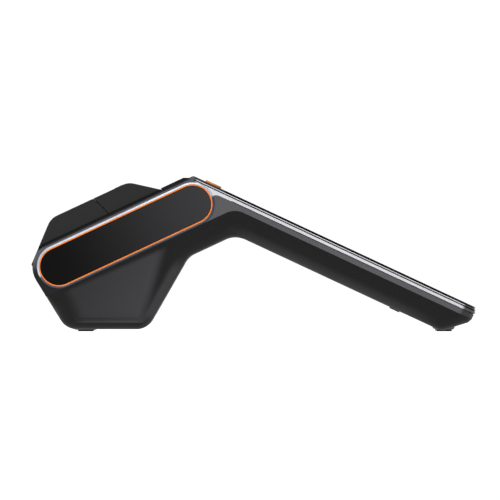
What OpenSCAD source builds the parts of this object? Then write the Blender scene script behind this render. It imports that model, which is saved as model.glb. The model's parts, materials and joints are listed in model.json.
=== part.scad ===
// Handheld data terminal: a display slab and a head that holds a receipt printer and a barcode scanner.
// X runs from the head to the tail, Z is up, and the part stands on its four feet at Z = 0.

/* [Casing] */
// Width over the flat sides of the casing
case_w = 80; // [80:1:84]
// Thickness of the casing walls
wall = 2; // [1.8:0.1:2.2]
// Slope of the head, and of the slab the other way, in degrees
tilt = 25; // [24.5:0.5:25.5]
// Radius of the rim round the side panels
rim_r = 12.3; // [12.2:0.1:12.5]
// Length of the head's sloping top, from the side panel's centre to the ridge
head_run = 77.6; // [77:0.2:79]
// Length of the display slab from the ridge to its tail
slab_len = 151.6; // [150:0.4:154]
// Thickness of the display slab
slab_t = 17.4; // [17:0.2:18.4]
// Slope of the head's front face, in degrees
front_slope = 58.5; // [58:0.5:60]
// Slope of the head's rear face, in degrees
rear_slope = 60.2; // [59:0.1:61]

/* [Side panels] */
// Distance between the centres of a side panel's two round ends
panel_run = 71.4; // [68:0.2:72]
// Radius of the glossy side panel
panel_r = 8.9; // [8.6:0.1:9]
// Width of the coloured ring round the panel
ring_w = 0.8; // [0.6:0.1:0.9]
// Width of the bright bevel round the ring
bevel_w = 0.95; // [0.7:0.05:1]

/* [Paper lid] */
// Height of the lid's top over the head's axis
lid_h = 22.8; // [22.6:0.1:23.2]
// Radius of the parting line round the lid's hinge
lid_r = 42.9; // [42.9:0.1:43]
// Gap round the lid
lid_gap = 0.4; // [0.4:0.05:0.5]
// Wall of the lid and of the print head cover
lid_wall = 1.6; // [1.4:0.1:1.6]

/* [Printer] */
// Width of the paper
paper_w = 58; // [57:0.5:58]
// Diameter of a full roll of paper
roll_d = 40; // [30:1:40]
// Diameter of the paper's core
core_d = 17; // [13:1:18]
// Radius of the platen roller
platen_r = 4.5; // [4.3:0.1:4.5]

/* [Display] */
// Thickness of the cover glass
glass_t = 1; // [0.8:0.1:1]
// Length of the display's module
lcd_l = 123; // [115:1:124]
// Width of the display's module
lcd_w = 68; // [64:1:69]

/* [Scanner] */
// Width of the scan window
window_w = 24; // [20:1:26]
// Height of the scan window along the front face
window_h = 8; // [6:0.5:8]

/* [Feet] */
// Diameter of the rubber pads
pad_d = 7.3; // [6:0.1:8]
// Distance of each foot from the middle
foot_y = 28; // [24:1:30]

/* [Hidden] */
platen_teeth = 18;
idler_teeth = 24;
pinion_teeth = 14;
$fn = 64;

black = "#262526";
dark = "#313132";
grey = "#5d5b5e";
silver = "#cfced2";
orange = "#fa8723";
steel = "#a8abb0";
board_green = "#1f4d33";

side = case_w / 2;
inner = side - wall;

// Head: the side panel's front centre, and where things lie along its axis and over it
head_x = -94.3;
head_z = 31.4;
base_z = 1;
front_out = 0.6;
rear_x = -51.6;
neck_v = -22.3;
split_v = -10.65;
cheek_in = side - 4;
cover_end_u = 60.1;

// Slab: depths under its top face
bezel_d = 1.3;
frame_d = 3.6;
tray_d = 5;
split_d = 6;
board_d = 8.6;
ledge_d = slab_t - wall - 1;
floor_d = slab_t - wall;
glass_u = 17;
key_u = 10.4;

function unit(a) = [cos(a), sin(a)];
function on_head(u, v) =
  [head_x + u * cos(tilt) - v * sin(tilt), head_z + u * sin(tilt) + v * cos(tilt)];
ridge = on_head(head_run, rim_r);
function on_slab(u, d) =
  [ridge[0] + u * cos(tilt) - d * sin(tilt), ridge[1] - u * sin(tilt) - d * cos(tilt)];

// Where the line through p at angle a meets the line through q at angle b
function meet(p, a, q, b) =
  let (n = [-sin(b), cos(b)])
  p + unit(a) * (((q - p) * n) / (unit(a) * n));

// Where the line through p at angle a leaves the circle of radius r round c
function leave(c, r, p, a) =
  let (w = p - c, along = w * unit(a))
  p + unit(a) * (sqrt(along * along - w * w + r * r) - along);

function bearing(c, p) = atan2(p[1] - c[1], p[0] - c[0]);

// Outlines run anticlockwise, each corner as [x, z, corner radius]
function corner(p, r) = [p[0], p[1], r];
function place(c) = [c[0], c[1]];

function fillet(a, p, b, r) =
  let (
    ua = (a - p) / norm(a - p),
    ub = (b - p) / norm(b - p),
    half = acos(ua * ub) / 2,
    c = p + (ua + ub) / norm(ua + ub) * r / sin(half),
    start = bearing(c, p + ua * r / tan(half)),
    end = bearing(c, p + ub * r / tan(half)),
    turn = (end - start + 540) % 360 - 180,
    steps = max(2, ceil(abs(turn) / 9))
  )
  [for (i = [0:steps]) c + r * unit(start + turn * i / steps)];

function smooth(outline) =
  let (n = len(outline))
  [for (i = [0:n - 1])
    let (p = place(outline[i]), r = outline[i][2])
    each (r > 0
      ? fillet(place(outline[(i + n - 1) % n]), p, place(outline[(i + 1) % n]), r)
      : [p])];

// The same outline moved inwards by t, with its corner radii kept concentric
function inset(outline, t) =
  let (n = len(outline))
  [for (i = [0:n - 1])
    let (
      p = place(outline[i]),
      into = p - place(outline[(i + n - 1) % n]),
      out = place(outline[(i + 1) % n]) - p,
      n1 = [-into[1], into[0]] / norm(into),
      n2 = [-out[1], out[0]] / norm(out),
      convex = into[0] * out[1] - into[1] * out[0] > 0
    )
    corner(p + t * (n1 + n2) / (1 + n1 * n2), convex ? max(outline[i][2] - t, 0) : outline[i][2] + t)];

function arc(c, r, from, to, steps) =
  [for (i = [0:steps]) corner(c + r * unit(from + (to - from) * i / steps), 0)];

// Flat shapes drawn in the X-Z plane, from y0 to y1
module prism(y0, y1) {
  translate([0, y1, 0]) rotate([90, 0, 0]) linear_extrude(y1 - y0) children();
}

module rod(p, r, y0, y1) {
  translate([p[0], y0, p[1]]) rotate([-90, 0, 0]) cylinder(h = y1 - y0, r = r);
}

module head_frame() {
  translate([head_x, 0, head_z]) rotate([0, -tilt, 0]) children();
}

module slab_frame() {
  translate([ridge[0], 0, ridge[1]]) rotate([0, tilt, 0]) children();
}

module head_box(u, v, y) {
  head_frame() translate([u[0], y[0], v[0]]) cube([u[1] - u[0], y[1] - y[0], v[1] - v[0]]);
}

module slab_box(u, d, y) {
  slab_frame() translate([u[0], y[0], -d[1]]) cube([u[1] - u[0], y[1] - y[0], d[1] - d[0]]);
}

module slab_peg(u, y, d, r) {
  slab_frame() translate([u, y, -d[1]]) cylinder(h = d[1] - d[0], r = r);
}

module both_sides() {
  children();
  mirror([0, 1, 0]) children();
}

// A slot with round ends: long in the first direction of its plane
module slot(long, short) {
  square([long - short, short], center = true);
  for (s = [-1, 1]) translate([s * (long - short) / 2, 0]) circle(d = short);
}

// Outline of the whole casing, seen from the side
front_at = on_head(0, 0) + (rim_r + front_out) * unit(270 - front_slope);
front_dir = 180 - front_slope;
body_outline = [
  corner(meet(front_at, front_dir, [0, base_z], 0), 9),
  corner([rear_x, base_z], 8.5),
  corner(meet([rear_x, base_z], rear_slope, on_head(0, neck_v), tilt), 10),
  corner(meet(on_head(0, neck_v), tilt, on_slab(0, slab_t), -tilt), 11),
  corner(on_slab(slab_len - 11, slab_t), 6),
  corner(on_slab(slab_len - 1, 8.2), 1.5),
  corner(on_slab(slab_len, 5.8), 0.8),
  corner(on_slab(slab_len, 1.2), 0.8),
  corner(on_slab(slab_len - 1.2, 0), 0),
  corner(ridge, 2),
  corner(meet(front_at, front_dir, on_head(0, rim_r), tilt), rim_r)
];

// All that lies over the joint between the two casings
upper_zone = [
  corner(on_head(-40, split_v), 0),
  corner(meet(on_head(0, split_v), tilt, on_slab(0, split_d), -tilt), 10),
  corner(on_slab(slab_len + 10, split_d), 0),
  corner([160, 150], 0),
  corner([-160, 150], 0)
];

module body_solid(y0, y1) { prism(y0, y1) polygon(smooth(body_outline)); }

module body_cavity() {
  difference() {
    prism(-inner, inner) polygon(smooth(inset(body_outline, wall)));
    tail_corners(4.4, inner, slab_len - wall);
  }
}

// Cutters for the corners of the tail, seen along the slab's normal
module tail_corners(r, half_w, length) {
  slab_frame() both_sides() difference() {
    translate([length - r, half_w - r, -slab_t - 5]) cube([r + 5, r + 5, slab_t + 10]);
    translate([length - r, half_w - r, -slab_t - 6]) cylinder(h = slab_t + 12, r = r);
  }
}

// Cutters that round the slab's two long lower edges
edge_r = 4.8;
module slab_edges() {
  slab_frame() both_sides() translate([36, 0, 0]) difference() {
    translate([0, side - edge_r, -slab_t - 5]) cube([slab_len, edge_r + 5, edge_r + 5]);
    translate([-1, side - edge_r, edge_r - slab_t]) rotate([0, 90, 0])
      cylinder(h = slab_len + 2, r = edge_r);
  }
}

// Lid: its hinge, its nose and its front face
hinge = [-103.7, 29.8];
nose = [-107.9, 31.9];
nose_slope = 67.1;
hinge_pin_r = 0.75;
barrel_r = 3.4;
trough_r = 5.1;
lid_floor = rim_r + 0.3;
lid_side = side - 1;
platen_a = 41;
platen_at = hinge + (lid_r + 0.2 - platen_r) * unit(platen_a);
head_at_r = lid_r + 0.35;

module front_block(y) {
  translate([-112, -y, 0]) cube([24, 2 * y, 27.5]);
}

// Scanner: the middle of its window on the front face
scan_at = meet([0, 19.9], 0, front_at, front_dir);
module scan_frame() {
  translate([scan_at[0], 0, scan_at[1]]) rotate([0, -front_dir, 0]) children();
}

module scan_opening(w, h, deep) {
  scan_frame() translate([0, 0, -deep]) linear_extrude(deep + 2) rotate(90) slot(w, h);
}

// Keys on the far side of the slab
side_key_d = 9;
power_u = 46;
volume_u = 71;
power_l = 10;
volume_l = 20;
side_key_h = 3;
rocker_y = 37.2;
rocker_r = 0.6;

module side_slot(u, long, short, y0, y1) {
  slab_frame() translate([u, y1, -side_key_d]) rotate([90, 0, 0]) linear_extrude(y1 - y0) slot(long, short);
}

// Battery cover and its screws
cover_u = [60, 126];
cover_y = 31;
cover_screw_u = 63;
cover_screw_y = 20;

casing_screw_u = [34, 133];
casing_screw_y = 34.5;
tail_foot_x = 92.4;
head_foot_x = -81.5;
base_d = 10.2;
usb_u = 100;
usb_size = [9, 3.2];
speaker_u = 46;
speaker_y = -20;

module lower_casing() {
  color(black) difference() {
    union() {
      difference() {
        body_solid(-side, side);
        body_cavity();
        difference() {
          prism(-side - 1, side + 1) polygon(smooth(upper_zone));
          front_block(cheek_in - 0.1);
        }
        rod(hinge, trough_r, -cheek_in, cheek_in);
        translate([-112, -cheek_in, 27]) cube([24, 2 * cheek_in, 30]);
        tail_corners(6.4, side, slab_len);
        slab_edges();
      }
      for (u = casing_screw_u) both_sides() slab_peg(u, casing_screw_y, [split_d, floor_d + 0.5], 3);
      for (s = [-1, 1]) translate([head_foot_x, s * foot_y, 0.7]) cylinder(h = 2, d = 11);
      for (s = [-1, 1]) intersection() {
        translate([tail_foot_x, s * foot_y, 1]) cylinder(h = 5, d = base_d + 3);
        body_solid(-side, side);
      }
      slab_box([cover_u[0] - 3, cover_u[1] + 3], [ledge_d, floor_d + 0.4], [-cover_y - 3, cover_y + 3]);
      both_sides() slab_peg(cover_screw_u, cover_screw_y, [ledge_d - 1.6, floor_d], 2.6);
      for (d = [split_d + 0.05, side_key_d + 2.45])
        slab_box([volume_u - 1.5, volume_u + 1.5], [d, d + 0.5], [rocker_y - 1.2, inner + 0.5]);
    }
    slab_peg(volume_u, rocker_y, [split_d - 1, side_key_d + 4], rocker_r + 0.05);
    scan_opening(window_w + 3, window_h + 3, 6);
    slab_box(cover_u, [floor_d, slab_t + 1], [-cover_y, cover_y]);
    slab_box([cover_u[0] + 7, cover_u[1] - 4], [ledge_d - 2, slab_t + 1], [-cover_y + 3, cover_y - 3]);
    both_sides() slab_peg(cover_screw_u, cover_screw_y, [ledge_d - 3, slab_t], 0.95);
    for (u = casing_screw_u) both_sides() {
      slab_peg(u, casing_screw_y, [split_d - 1, slab_t + 1], 1.05);
      slab_peg(u, casing_screw_y, [slab_t - 1.6, slab_t + 1], 2.2);
    }
    for (s = [-1, 1]) {
      translate([head_foot_x, s * foot_y, -1]) cylinder(h = 2.2, d = pad_d);
      translate([tail_foot_x, s * foot_y, -1]) cylinder(h = 4.2, d = base_d);
    }
    side_slot(power_u, power_l + 0.5, side_key_h + 0.5, inner - 1, side + 1);
    side_slot(volume_u, volume_l + 0.5, side_key_h + 0.5, inner - 1, side + 1);
    slab_box([usb_u - usb_size[0] / 2, usb_u + usb_size[0] / 2],
      [side_key_d - usb_size[1] / 2, side_key_d + usb_size[1] / 2], [inner - 1, side + 1]);
    for (i = [-3:3]) slab_peg(speaker_u + i * 2.2, speaker_y, [floor_d - 1, slab_t + 1], 0.6);
  }
}

module panel_slot(r, y0, y1) {
  head_frame() {
    for (u = [0, panel_run]) translate([u, y0, 0]) rotate([-90, 0, 0]) cylinder(h = y1 - y0, r = r);
    translate([0, y0, -r]) cube([panel_run, y1 - y0, 2 * r]);
  }
}

panel_floor = side - 0.8;
panel_top = side + 0.6;
ring_top = side + 0.85;
bevel_top = side + 1;

module upper_casing() {
  color(grey) difference() {
    union() {
      difference() {
        intersection() {
          body_solid(-side, side);
          prism(-side - 1, side + 1) polygon(smooth(upper_zone));
        }
        body_cavity();
        front_block(cheek_in);
        head_box([-40, cover_end_u - 1], [2, 40], [-cheek_in, cheek_in]);
        translate([-112, -cheek_in, 20]) cube([22, 2 * cheek_in, 30]);
        slab_box([1.3, slab_len + 5], [-5, frame_d], [-side - 1, side + 1]);
        tail_corners(6.4, side, slab_len);
      }
      slab_box([8, slab_len - wall], [frame_d, tray_d], [-inner, inner]);
      both_sides() rod(hinge, 2.4, cheek_in + 0.1, inner + 0.5);
      for (u = casing_screw_u) both_sides() slab_peg(u, casing_screw_y, [tray_d - 0.5, split_d], 3);
    }
    both_sides() panel_slot(panel_r + ring_w + bevel_w + 0.06, panel_floor, side + 2);
    both_sides() rod(hinge, hinge_pin_r, cheek_in - 1, inner + 0.2);
    slab_box([key_u - 5.5, key_u + 5.5], [frame_d - 1, tray_d + 1], [-16, 16]);
    for (u = casing_screw_u) both_sides() slab_peg(u, casing_screw_y, [tray_d - 1, split_d + 1], 1.05);
    slab_box([glass_u + 20, glass_u + 26], [frame_d - 1, tray_d + 1], [-12, 12]);
  }
}

// A layer of the slab's face: from u0 to the tail
module slab_layer(u0, u1, d0, d1, half_w, tail_r) {
  difference() {
    slab_box([u0, u1], [d0, d1], [-half_w, half_w]);
    if (tail_r > 0) tail_corners(tail_r, half_w, u1);
  }
}

module display_bezel() {
  color(silver) difference() {
    slab_layer(1.4, slab_len + 0.1, bezel_d, frame_d, side + 0.3, 6.6);
    slab_box([glass_u + 3, glass_u + 4 + lcd_l + 1], [0, frame_d + 1], [-lcd_w / 2 - 1, lcd_w / 2 + 1]);
    slab_box([key_u - 5.5, key_u + 5.5], [0, frame_d + 1], [-16, 16]);
    both_sides() panel_slot(panel_r + ring_w + bevel_w + 0.06, panel_floor, side + 2);
  }
  color(dark) difference() {
    slab_layer(1.4, slab_len - 0.4, glass_t, bezel_d, side - 0.2, 6.2);
    slab_box([glass_u + 3, glass_u + 4 + lcd_l + 1], [0, frame_d + 1], [-lcd_w / 2 - 1, lcd_w / 2 + 1]);
    slab_box([key_u - 5.5, key_u + 5.5], [0, frame_d + 1], [-16, 16]);
    both_sides() panel_slot(panel_r + ring_w + bevel_w + 0.06, panel_floor, side + 2);
  }
}

module touch_glass() {
  color("#0d0e10") slab_layer(glass_u, slab_len - 0.8, 0, glass_t, side - 0.3, 6);
}

module lcd_module() {
  color("#1b1c22")
    slab_box([glass_u + 4, glass_u + 4 + lcd_l], [glass_t, frame_d], [-lcd_w / 2, lcd_w / 2]);
}

module key_plate() {
  color("#0d0e10") difference() {
    slab_box([1.4, glass_u - 0.15], [0, glass_t], [-side + 0.3, side - 0.3]);
    slab_frame() translate([key_u, 0, -glass_t - 1]) linear_extrude(glass_t + 2) rotate(90) slot(26.5, 8.7);
  }
}

module deck_panel() {
  color(black) head_frame() translate([0, lid_side, 0]) rotate([90, 0, 0])
    linear_extrude(2 * lid_side) polygon(smooth([
      [cover_end_u + 0.6, rim_r + 0.02, 0], [75.2, rim_r + 0.02, 0], [72.8, rim_r + 1.2, 1.5],
      [cover_end_u + 0.6, rim_r + 1.2, 0.4]
    ]));
}

module side_panel() { color("#1c1b1c") panel_slot(panel_r, panel_floor, panel_top); }

module accent_ring() {
  color(orange) difference() {
    panel_slot(panel_r + ring_w, panel_floor, ring_top);
    panel_slot(panel_r, panel_floor - 1, ring_top + 1);
  }
}

module panel_bezel() {
  color(silver) difference() {
    panel_slot(panel_r + ring_w + bevel_w, panel_floor, bevel_top);
    panel_slot(panel_r + ring_w, panel_floor - 1, bevel_top + 1);
  }
}

module side_panel_left() { mirror([0, 1, 0]) side_panel(); }
module side_panel_right() { side_panel(); }
module accent_ring_left() { mirror([0, 1, 0]) accent_ring(); }
module accent_ring_right() { accent_ring(); }
module panel_bezel_left() { mirror([0, 1, 0]) panel_bezel(); }
module panel_bezel_right() { panel_bezel(); }

// Outlines of the lid and of the cover behind it, which meet in an arc round the hinge
module lid_shape(t, low) {
  r = lid_r - t;
  top = lid_h - t;
  front = nose + t * unit(nose_slope - 90);
  right = leave(hinge, r, on_head(0, low), tilt);
  up = leave(hinge, r, on_head(0, top), tilt);
  polygon(smooth(concat(
    [corner(meet(front, nose_slope, on_head(0, low), tilt), 0)],
    arc(hinge, r, bearing(hinge, right), bearing(hinge, up), 6),
    [corner(meet(front, nose_slope, on_head(0, top), tilt), 8.5 - t)]
  )));
}

cover_peak_u = 47;
module cover_shape(t, low) {
  r = lid_r + lid_gap + t;
  top = lid_h - t;
  back = on_head(cover_end_u, rim_r + 0.9) + t * unit(180 + 77.4);
  left = leave(hinge, r, on_head(0, low), tilt);
  up = leave(hinge, r, on_head(0, top), tilt);
  polygon(smooth(concat(
    [corner(on_head(cover_end_u + 0.45 - t, low), 0)],
    [corner(meet(back, -12.6, on_head(cover_end_u + 0.45 - t, 0), tilt + 90), 0)],
    [corner(meet(back, -12.6, on_head(0, top), tilt), 8 - t)],
    arc(hinge, r, bearing(hinge, up), bearing(hinge, left), 6)
  )));
}

button_u = 42.2;
tear_a = 50.2;
module print_head_cover() {
  color(dark) difference() {
    prism(-lid_side, lid_side) cover_shape(0, rim_r);
    prism(-lid_side + lid_wall, lid_side - lid_wall) cover_shape(lid_wall, rim_r - 6);
    rod(platen_at, 5.6, -cheek_in - 0.3, cheek_in + 0.3);
    rotate_head_arc(platen_a) translate([lid_r - 1, -33, -9]) cube([4, 66, 14.3]);
    rotate_head_arc(tear_a) translate([lid_r + lid_gap - 0.3, -29.5, -1.6]) cube([0.9, 59, 3.2]);
    rod(hinge, lid_r + 1, 33, 36.2);
    head_frame() translate([button_u, 0, lid_h - lid_wall - 1]) linear_extrude(4) rotate(90) slot(16.5, 4.5);
  }
}

// A frame at the hinge whose X axis points outwards at angle a
module rotate_head_arc(a) {
  translate([hinge[0], 0, hinge[1]]) rotate([0, -a, 0]) children();
}

module tear_bar() {
  color(steel) rotate_head_arc(tear_a) translate([lid_r + lid_gap + 0.1, -29.5, -1.6]) cube([0.5, 59, 3.2]);
}

module paper_lid() {
  color(dark) difference() {
    union() {
      difference() {
        prism(-lid_side, lid_side) lid_shape(0, lid_floor);
        prism(-lid_side + lid_wall, lid_side - lid_wall) lid_shape(lid_wall, lid_floor - 6);
      }
      prism(-cheek_in + 0.3, cheek_in - 0.3) polygon(smooth([
        corner(nose, 1),
        corner(nose + [1.9, -1], 0),
        corner(nose + 10.2 * unit(nose_slope) + lid_wall * unit(nose_slope - 90), 0),
        corner(nose + 10.2 * unit(nose_slope), 0)
      ]));
      rod(hinge, barrel_r, -cheek_in + 0.3, cheek_in - 0.3);
    }
    rod(hinge, hinge_pin_r + 0.05, -side, side);
    rod(platen_at, 5.6, -cheek_in - 0.3, cheek_in + 0.3);
  }
}

module lid_inner_frame() {
  color(black) difference() {
    union() {
      both_sides() prism(30.4, 32.8) {
        translate(platen_at) circle(r = 4.2);
        polygon([
          on_head(20, 12.5), on_head(27.5, 14), on_head(27, lid_h - lid_wall), on_head(12, lid_h - lid_wall)
        ]);
      }
      head_box([12, 26.5], [lid_h - lid_wall - 1.4, lid_h - lid_wall], [-32.8, 32.8]);
    }
    both_sides() rod(platen_at, 3, 30, 33);
  }
}

module platen_bushings() {
  color("#e8e4d8") difference() {
    both_sides() rod(platen_at, 3, 30.4, 32.8);
    rod(platen_at, 1.54, -40, 40);
  }
}

module platen_shaft() { color(steel) rod(platen_at, 1.5, -33.2, 35.8); }

module platen_roller() {
  color("#2b2a2c") difference() {
    rod(platen_at, platen_r, -paper_w / 2 + 0.4, paper_w / 2 - 0.4);
    rod(platen_at, 1.5, -40, 40);
  }
}

// Spur gears, module 0.5, with the flanks eased so that the teeth part freely when the lid opens
gear_m = 0.5;
gear_y = [33.4, 35.6];
gear_play = 0.13;
pressure = 20;
function involute(rb, r) = let (a = acos(min(1, rb / r))) tan(a) * 180 / PI - a;
function gear_outline(teeth, phase) =
  let (
    rp = gear_m * teeth / 2,
    rb = rp * cos(pressure),
    tip = rp + 0.8 * gear_m,
    root = rp - 1.15 * gear_m,
    low = max(rb, root),
    half = 90 / teeth - gear_play / 2 / rp * 180 / PI + involute(rb, rp),
    radii = [for (i = [0:4]) low + (tip - low) * i / 4]
  )
  [for (k = [0:teeth - 1])
    let (c = phase + k * 360 / teeth)
    each concat(
      [root * unit(c - half + involute(rb, low))],
      [for (r = radii) r * unit(c - half + involute(rb, r))],
      [for (i = [4:-1:0]) radii[i] * unit(c + half - involute(rb, radii[i]))],
      [root * unit(c + half - involute(rb, low))]
    )];

mesh_a = platen_a - 90;
idler_at = platen_at + gear_m * (platen_teeth + idler_teeth) / 2 * unit(mesh_a);
pinion_a = mesh_a + 180 - 7 * 360 / idler_teeth;
pinion_at = idler_at + gear_m * (idler_teeth + pinion_teeth) / 2 * unit(pinion_a);

module spur_gear(p, teeth, phase, bore_r) {
  difference() {
    prism(gear_y[0], gear_y[1]) translate(p) polygon(gear_outline(teeth, phase));
    rod(p, bore_r, gear_y[0] - 1, gear_y[1] + 1);
  }
}

module platen_gear() { color("#d9d6cc") spur_gear(platen_at, platen_teeth, mesh_a, 1.5); }
module idler_gear() {
  color("#d9d6cc") spur_gear(idler_at, idler_teeth, mesh_a + 180 + 180 / idler_teeth, 1.05);
}
module motor_pinion() { color("#c9a24a") spur_gear(pinion_at, pinion_teeth, pinion_a + 180, 0.75); }

module idler_pin() { color(steel) rod(idler_at, 1, plate_y, gear_y[1] + 0.3); }

// Printer's frame: two side plates and the bar that the print head's springs push on
plate_y = 31.2;
plate_t = 1;
motor_r = 7;
bar_r = head_at_r + 7.15;
module print_frame() {
  color(steel) difference() {
    union() {
      both_sides() prism(plate_y, plate_y + plate_t) polygon(smooth([
        corner(idler_at + [-6, -4], 2), corner(pinion_at + [8, -10], 2), corner(pinion_at + [9, 4], 2),
        corner(hinge + (bar_r + 3) * unit(39), 1), corner(hinge + (bar_r + 1.4) * unit(44.5), 0.8),
        corner(hinge + (lid_r + 1.2) * unit(44.5), 0.8), corner(hinge + (lid_r + 1.2) * unit(35), 0.5),
        corner(hinge + 35 * unit(29), 1)
      ]));
      rotate_head_arc(platen_a) translate([bar_r, -plate_y - 0.5, -5]) cube([1.4, 2 * plate_y + 1, 6.5]);
    }
    rod(idler_at, 1, plate_y - 1, plate_y + 2);
    rod(pinion_at, 2.2, plate_y - 1, plate_y + 2);
  }
}

module thermal_head() {
  color("#e9e4da") rotate_head_arc(platen_a) translate([head_at_r, -27.5, -4]) cube([1, 55, 8]);
}

module head_heatsink() {
  color("#8d9095") rotate_head_arc(platen_a) difference() {
    translate([head_at_r + 1, -28.5, -5]) cube([3.5, 57, 10]);
    for (s = [-20:4:20]) translate([head_at_r + 2.65, s - 0.8, -6]) cube([3, 1.6, 12]);
  }
}

module head_springs() {
  color(steel) rotate_head_arc(platen_a) for (s = [-22, 22]) translate([head_at_r + 4.5, s, 0])
    for (i = [0:4]) translate([0.28 + i * 0.52, 0, 0]) rotate([0, 90, 0])
      rotate_extrude($fn = 24) translate([1.7, 0]) circle(r = 0.265, $fn = 16);
}

module stepper_motor() {
  color(steel) difference() {
    union() {
      rod(pinion_at, motor_r, plate_y - 12, plate_y);
      rod(pinion_at, 2, plate_y, plate_y + plate_t);
    }
    rod(pinion_at, 0.79, plate_y - 4, plate_y + 2);
  }
}

module motor_shaft() { color(steel) rod(pinion_at, 0.75, plate_y - 3.8, gear_y[1] + 0.2); }

module lid_hinge_pin() { color(steel) rod(hinge, hinge_pin_r, -inner - 0.2, inner + 0.2); }

// Paper roll and the bucket that it lies in
bucket_r = roll_d / 2 + 1;
bucket_t = 1.2;
roll_at = [-68.5, base_z + wall + bucket_t + bucket_r + 0.1];
module paper_bucket() {
  end_y = paper_w / 2 + 0.7;
  color(black) difference() {
    union() {
      rod(roll_at, bucket_r + bucket_t, -end_y - bucket_t, end_y + bucket_t);
      for (s = [-1, 1]) translate([roll_at[0] - 12, s * 24 - 3, base_z + wall]) cube([24, 6, 6]);
    }
    rod(roll_at, bucket_r, -end_y, end_y);
    translate([roll_at[0] - 30, -40, roll_at[1] + 8]) cube([60, 80, 40]);
  }
}

module paper_roll() {
  color("#f4f2ec") difference() {
    rod(roll_at, roll_d / 2, -paper_w / 2, paper_w / 2);
    rod(roll_at, core_d / 2, -40, 40);
  }
}

module paper_core() {
  color("#b8946a") difference() {
    rod(roll_at, core_d / 2, -paper_w / 2, paper_w / 2);
    rod(roll_at, core_d / 2 - 1.5, -40, 40);
  }
}

module scan_bezel() {
  color("#101012") difference() {
    intersection() {
      scan_opening(window_w + 3, window_h + 3, 2.6);
      body_solid(-side, side);
    }
    scan_opening(window_w, window_h, 3);
  }
}

module scan_window() {
  color("#3a0d10") scan_frame() translate([0, 0, -1.8]) linear_extrude(1)
    rotate(90) slot(window_w, window_h);
}

scan_size = [6.4, 22, 8];
module scan_engine() {
  color("#2c2d31") difference() {
    scan_frame() translate([-scan_size[0] / 2, -scan_size[1] / 2, -scan_size[2] - 2.6]) cube(scan_size);
    for (y = [-5.5, 5.5]) scan_frame() translate([0, y, -4.6]) cylinder(h = 3, r = 2.2);
  }
}

module scan_lens() {
  color("#5b6ea8") for (y = [-5.5, 5.5]) scan_frame() translate([0, y, -4.6]) cylinder(h = 1.9, r = 2.2);
}

module lid_release_button() {
  color(orange) head_frame() {
    translate([button_u, 0, lid_h - lid_wall - 0.2]) linear_extrude(lid_wall + 0.6) rotate(90) slot(16, 4);
    translate([button_u, 0, lid_h - lid_wall - 1]) linear_extrude(0.8) rotate(90) slot(17.6, 5.6);
  }
}

key_rise = 0.9;
module scan_key() {
  color(orange) slab_frame() {
    translate([key_u, 0, -1.2]) linear_extrude(1.2 + key_rise) rotate(90) slot(26, 8.2);
    translate([key_u, 0, -2]) linear_extrude(0.8) rotate(90) slot(28.4, 10.4);
    translate([key_u, 0, -3]) cylinder(h = 1, r = 1.5);
  }
}

module key_board() {
  color(board_green) slab_box([key_u - 5, key_u + 9], [tray_d, tray_d + 1], [-18, 18]);
}

module key_switches() {
  color("#c9c9c9") {
    slab_box([key_u - 2, key_u + 2], [4, tray_d], [-2, 2]);
    slab_box([power_u - 2.5, power_u + 2.5], [side_key_d - 1, board_d], [34.4, 36.2]);
    for (u = [volume_u - 7, volume_u + 7])
      slab_box([u - 1.5, u + 1.5], [side_key_d - 1, board_d], [34.4, 36.2]);
  }
}

module side_key(u, long, play) {
  side_slot(u, long, side_key_h, inner - play, side + 0.5);
  side_slot(u, long + 1.6, side_key_h + 1.6, inner - play - 0.7, inner - play);
}

module power_key() { color(black) side_key(power_u, power_l, 0.2); }
module volume_key() {
  color(black) union() {
    side_key(volume_u, volume_l, 0.5);
    slab_peg(volume_u, rocker_y, [side_key_d - 2.9, side_key_d + 2.9], rocker_r);
  }
}

module main_board() {
  color(board_green) union() {
    slab_box([28, 57], [board_d, board_d + 1], [-30.5, 30.5]);
    slab_box([40, 84], [board_d, board_d + 1], [30.5, 36]);
  }
}

module shield_cans() {
  color(silver) {
    slab_box([31, 45], [board_d + 1, board_d + 3.2], [-6, 26]);
    slab_box([36, 55], [board_d - 1.8, board_d], [-27, -4]);
    slab_box([36, 55], [board_d - 1.8, board_d], [2, 24]);
  }
}

module board_connectors() {
  color("#d8c9a0") {
    slab_box([48, 54], [board_d + 1, board_d + 2.5], [-4, 10]);
    slab_box([29.5, 33], [board_d - 1.4, board_d], [-24, -8]);
    slab_box([29.5, 33], [board_d - 1.4, board_d], [6, 22]);
  }
}

module battery_pack() {
  color("#2e5d8c") slab_box([cover_u[0] + 2, cover_u[1] - 4], [split_d + 1.4, ledge_d - 1.7], [-27, 27]);
}

module battery_cover() {
  color(black) difference() {
    union() {
      slab_box([cover_u[0] + 0.15, cover_u[1] - 0.15], [floor_d, slab_t], [-cover_y + 0.15, cover_y - 0.15]);
      slab_box([cover_u[0] + 8, cover_u[1] - 5], [ledge_d - 0.4, floor_d], [-cover_y + 4, cover_y - 4]);
      slab_box([cover_u[1] - 12.5, cover_u[1] - 7.5], [slab_t - 0.5, slab_t + 0.5], [-12, 12]);
    }
    both_sides() slab_peg(cover_screw_u, cover_screw_y, [floor_d - 1, slab_t + 1], 0.95);
    both_sides() slab_peg(cover_screw_u, cover_screw_y, [slab_t - 1.2, slab_t + 1], 1.9);
    for (u = [cover_u[1] - 25:2:cover_u[1] - 17]) slab_box([u, u + 1], [slab_t - 0.4, slab_t + 1], [-9, 9]);
  }
}

module screw(u, y, head_d, head_r, head_h, shank_r, tip_d) {
  difference() {
    union() {
      slab_peg(u, y, [head_d, head_d + head_h], head_r);
      slab_peg(u, y, [tip_d, head_d], shank_r);
    }
    slab_peg(u, y, [head_d + head_h - 0.6, head_d + head_h + 1], 0.7);
  }
}

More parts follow.
